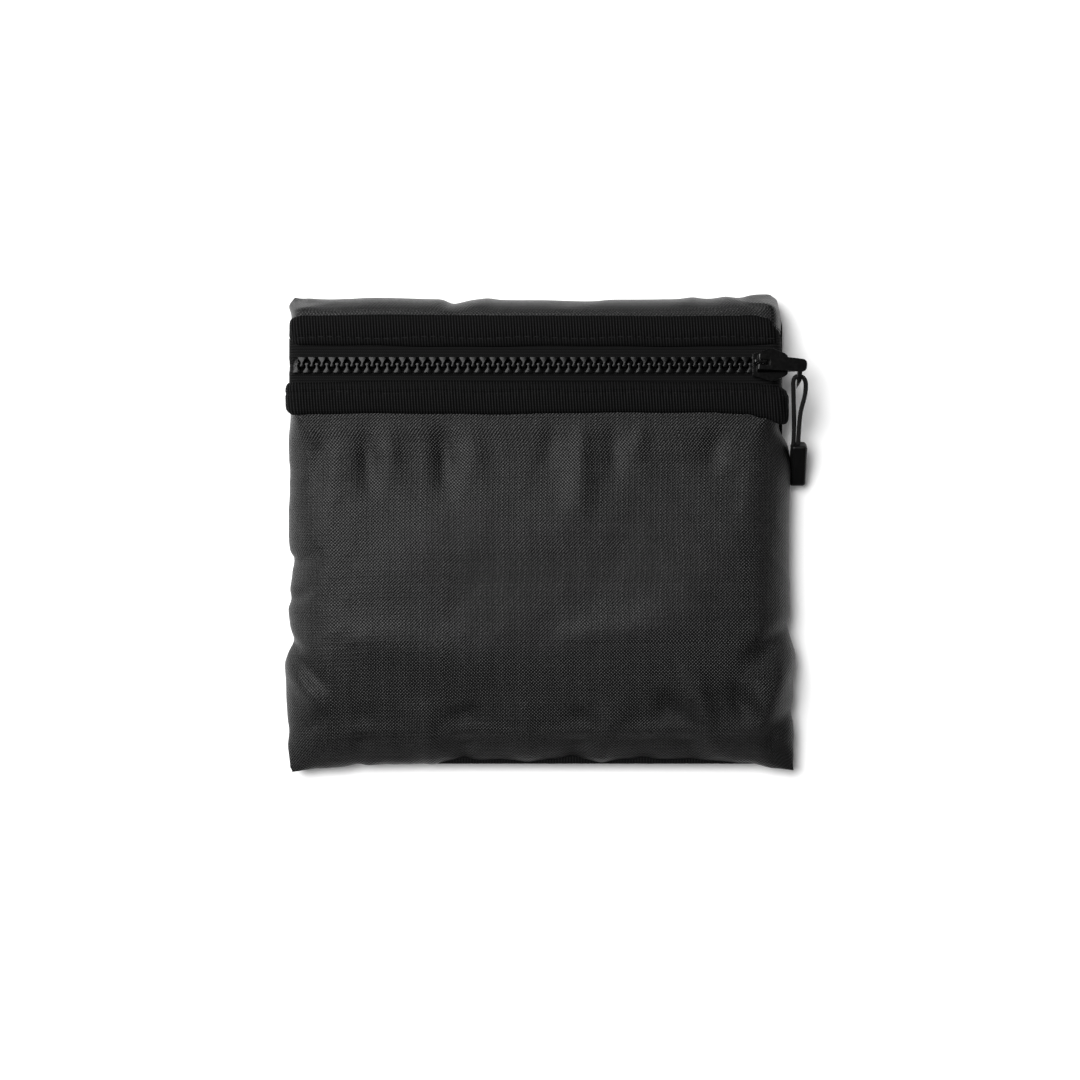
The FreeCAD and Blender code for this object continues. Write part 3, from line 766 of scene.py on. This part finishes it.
def softened(node, body, material, width, shape=None):
    """A copy of a hard part's shape with its edges rounded as a casting's are."""
    source = bpy.data.objects[node]
    data = source.data.copy()
    if shape is not None:
        for vertex in data.vertices:
            vertex.co = shape(vertex.co)
    data.name = f"{node}_soft"
    data.materials.clear()
    data.materials.append(material)
    mesh = bmesh.new()
    mesh.from_mesh(data)
    bmesh.ops.remove_doubles(mesh, verts=mesh.verts, dist=2e-6)
    bmesh.ops.dissolve_limit(mesh, angle_limit=math.radians(2), verts=mesh.verts,
                             edges=mesh.edges)
    mesh.to_mesh(data)
    mesh.free()
    data.polygons.foreach_set("use_smooth", [True] * len(data.polygons))
    piece = bpy.data.objects.new(f"{node}_soft", data)
    bpy.context.collection.objects.link(piece)
    add_modifier(piece, "BEVEL", "soft_edges", width=width, segments=3, limit_method="ANGLE",
                 angle_limit=math.radians(35), use_clamp_overlap=True)
    add_modifier(piece, "WEIGHTED_NORMAL", "even_shading", keep_sharp=False)
    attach(piece, body)
    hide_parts(node)
    return piece


TAB_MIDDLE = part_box("slider_bridge")[0][1] + 0.0008
TAB_SLOPE = -0.0013
TAB_LEAN = 0.0016
TAB_WIDENING = 1.2

CORD_ROUTE = [
    (84.3, 30.10, 8.82), (84.3, 35.46, 11.52), (83.9, 40.82, 14.00), (83.5, 46.63, 17.00),
    (83.05, 52.23, 19.85), (87.23, 51.87, 19.85),
    (87.6, 46.63, 17.00), (86.1, 40.82, 14.05), (85.85, 35.46, 11.52), (85.85, 30.10, 8.82),
]
CORD_DIAMETER = 0.0015


def cord(material):
    """The cord's loop, one smooth line from the grip through the eye and back."""
    curve = bpy.data.curves.new("cord_loop", "CURVE")
    curve.dimensions = "3D"
    spline = curve.splines.new("NURBS")
    spline.points.add(len(CORD_ROUTE) - 1)
    for point, place in zip(spline.points, CORD_ROUTE):
        point.co = (*(c * MM for c in place), 1.0)
    spline.order_u = 3
    spline.use_endpoint_u = True
    spline.resolution_u = 12
    curve.bevel_depth = CORD_DIAMETER / 2
    curve.bevel_resolution = 5
    curve.use_fill_caps = True
    curve.materials.append(material)
    piece = bpy.data.objects.new("cord_loop", curve)
    bpy.context.collection.objects.link(piece)
    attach(piece, "cord")
    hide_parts("pull_cord")
    return piece


# ---------------------------------------------------------------- the folded tote inside
def serpentine(panel, layers, pitch, radius_steps=6, flat_steps=6):
    """A line folded to and fro: points (along, height) and the unit normal at each."""
    points, normals = [], []
    for layer in range(layers):
        direction = 1 if layer % 2 == 0 else -1
        ends = np.linspace(-panel / 2, panel / 2, flat_steps + 1) * direction
        for a in ends:
            points.append((a, layer * pitch))
            normals.append((0.0, float(direction)))
        if layer < layers - 1:
            centre = (panel / 2 * direction, (layer + 0.5) * pitch)
            for angle in np.linspace(-math.pi / 2, math.pi / 2, radius_steps + 1)[1:-1]:
                offset = (direction * math.cos(angle), math.sin(angle))
                points.append((centre[0] + offset[0] * pitch / 2, centre[1] + offset[1] * pitch / 2))
                normals.append((-offset[0], -offset[1] * direction))
    return np.array(points), np.array(normals)


def folded_sheet(name, node, width, depth, layers_u, layers_v, material, cloth_thick):
    """A sheet folded first across and then up, in the space of its CAD stack."""
    low, high = (np.array(corner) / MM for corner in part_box(node))
    centre = (low + high) / 2
    pitch = (high[2] - low[2] - cloth_thick) / (layers_u * layers_v - 1)
    line_u, _ = serpentine(width - 2 * pitch, layers_u, pitch)
    line_u[:, 1] -= pitch * (layers_u - 1) / 2
    slab = pitch * layers_u
    if layers_v > 1:
        line_v, normal_v = serpentine(depth - 2 * slab, layers_v, slab)
        line_v[:, 1] -= slab * (layers_v - 1) / 2
    else:
        line_v = np.stack([np.linspace(-depth / 2, depth / 2, 8), np.zeros(8)], axis=1)
        normal_v = np.tile([0.0, 1.0], (8, 1))
    points, cloth = [], []
    for i, ((y, z), (ny, nz)) in enumerate(zip(line_v, normal_v)):
        for j, (x, h) in enumerate(line_u):
            points.append((centre[0] + x, centre[1] + y + ny * h, centre[2] + z + nz * h))
            cloth.append((j * 12.0, i * 12.0, 0))
    faces = grid_faces(len(line_v), len(line_u))
    piece = mesh_object(name, np.array(points), faces, cloth, material)
    add_modifier(piece, "SOLIDIFY", "thickness", thickness=cloth_thick * MM, offset=0.0)
    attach(piece, "pouch")
    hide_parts(node)
    return piece


def folded_tote(cloth_material, webbing_material):
    for name, node in (("tote_wall_a", "tote_wall_lower"), ("tote_wall_b", "tote_wall_upper")):
        wall = folded_sheet(name, node, 148.0, 126.0, 3, 3, cloth_material, 0.12)
    for name in ("handle_a", "handle_b"):
        strap = folded_sheet(f"{name}_strap", name, 148.0, 25.0, 3, 1, webbing_material, 0.7)


def seam_tape(material):
    """The binding over the seam's raw edges, inside the pouch."""
    piece = softened("seam_binding", "pouch", material, 0.0003)
    places = [(vertex.co.x / MM, vertex.co.y / MM, 0.0) for vertex in piece.data.vertices]
    attribute = piece.data.attributes.new("cloth", "FLOAT_VECTOR", "POINT")
    attribute.data.foreach_set("vector", np.array(places, dtype=np.float32).ravel())


# ---------------------------------------------------------------- the whole object
def build():
    camera_and_light()
    ripstop = ripstop_material()
    grosgrain = grosgrain_material()
    woven = tape_material()
    thread = moulded_material("thread", 0.003, 0.7, 0.3, level=0.15)
    tooth_plastic = moulded_material("tooth_plastic", 0.002, 0.20, 0.15, level=0.14)
    enamel = moulded_material("black_enamel", 0.001, 0.18, 0.05, level=0.3)
    grip_plastic = moulded_material("grip_plastic", 0.002, 0.38, 0.3, level=0.2)
    steel = moulded_material("spring_steel", 0.45, 0.35, 0.1)
    braid = braid_material()

    grip = softened("cord_grip", "cord", grip_plastic, 0.0007)
    cord(braid)
    pouch_cloth(ripstop)
    for side in ("lower", "upper"):
        binding(side, grosgrain)
        stitches(side, thread)
        tape(side, woven)
        teeth(side, tooth_plastic)
    softened("slider_body", "slider", enamel, 0.0004, narrowed_nose)
    softened("slider_bridge", "slider", enamel, 0.00025)
    softened("pull_tab", "tab", enamel, 0.0003, leaning_side)
    bpy.data.objects["lock_spring"].data.materials.clear()
    bpy.data.objects["lock_spring"].data.materials.append(steel)
    seam_tape(grosgrain)
    folded_tote(ripstop, grosgrain)


build()
